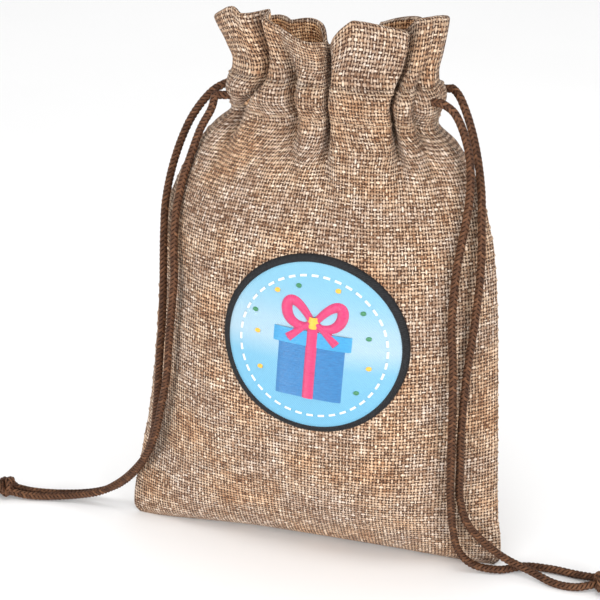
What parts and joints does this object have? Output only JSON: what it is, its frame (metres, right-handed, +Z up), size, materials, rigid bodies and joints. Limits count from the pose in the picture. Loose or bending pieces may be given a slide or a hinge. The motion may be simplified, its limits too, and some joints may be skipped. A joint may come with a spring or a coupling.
{
  "type": "drawstring gift pouch",
  "caption": "Soft woven gift pouch standing on its folded bottom, with a gathered frilled neck, opposed braided drawstrings ending in knots and a round front patch.",
  "frame": {"origin": "bottom centre of the pouch's box without its free cords, on the ground under the middle of the bottom fold", "axes": "+X towards the right-hand side seam seen from the front, -Y out of the front with the patch, +Z up through the mouth"},
  "size_m": [0.2294, 0.0525, 0.178],
  "materials": {
    "jute_cloth": "coarse plain weave, matt",
    "jute_inside": "coarse plain weave, matt, raw edges",
    "seam_thread": "spun sewing thread",
    "braided_cord": "round braid, slight sheen",
    "patch_print": "printed fine twill",
    "patch_border_thread": "dense overlock thread, satin",
    "patch_backing": "stiff non-woven backing"
  },
  "bodies": {
    "pouch": {"front_panel": "jute_cloth", "back_panel": "jute_cloth", "bottom_fold": "jute_cloth", "left_side_seam": "jute_inside", "right_side_seam": "jute_inside", "left_seam_stitches": "seam_thread", "right_seam_stitches": "seam_thread", "front_casing": "jute_cloth", "back_casing": "jute_cloth", "front_casing_stitches": "seam_thread", "back_casing_stitches": "seam_thread", "patch_backing": "patch_backing", "patch_face": "patch_print", "patch_border": "patch_border_thread", "left_cord_loop": "braided_cord", "right_cord_loop": "braided_cord"},
    "front_lip": {"front_frill": "jute_cloth", "front_hem": "jute_inside"},
    "back_lip": {"back_frill": "jute_cloth", "back_hem": "jute_inside"},
    "left_cord": {"left_cord_front_run": "braided_cord", "left_cord_back_run": "braided_cord"},
    "left_tail": {"left_cord_front_tail": "braided_cord", "left_cord_back_tail": "braided_cord", "left_knot": "braided_cord"},
    "right_cord": {"right_cord_front_run": "braided_cord", "right_cord_back_run": "braided_cord"},
    "right_tail": {"right_cord_front_tail": "braided_cord", "right_cord_back_tail": "braided_cord", "right_knot": "braided_cord"}
  },
  "joints": [
    {"name": "left_cord_pull", "type": "slide", "parent": "pouch", "child": "left_cord", "axis": [-1, 0, 0], "range_m": [0, 0.02]},
    {"name": "right_cord_pull", "type": "slide", "parent": "pouch", "child": "right_cord", "axis": [1, 0, 0], "range_m": [0, 0.02]},
    {"name": "left_tail_swing", "type": "hinge", "parent": "left_cord", "child": "left_tail", "pos_m": [-0.02671, 0, 0.1514], "axis": [0, 1, 0], "range_deg": [0, 40]},
    {"name": "right_tail_swing", "type": "hinge", "parent": "right_cord", "child": "right_tail", "pos_m": [0.03971, 0, 0.1556], "axis": [0, -1, 0], "range_deg": [0, 40]},
    {"name": "front_lip_open", "type": "hinge", "parent": "pouch", "child": "front_lip", "pos_m": [0.0065, -0.0078, 0.1593], "axis": [1, 0, 0], "range_deg": [0, 25]},
    {"name": "back_lip_open", "type": "hinge", "parent": "pouch", "child": "back_lip", "pos_m": [0.0065, 0.0078, 0.1593], "axis": [-1, 0, 0], "range_deg": [0, 25]}
  ]
}
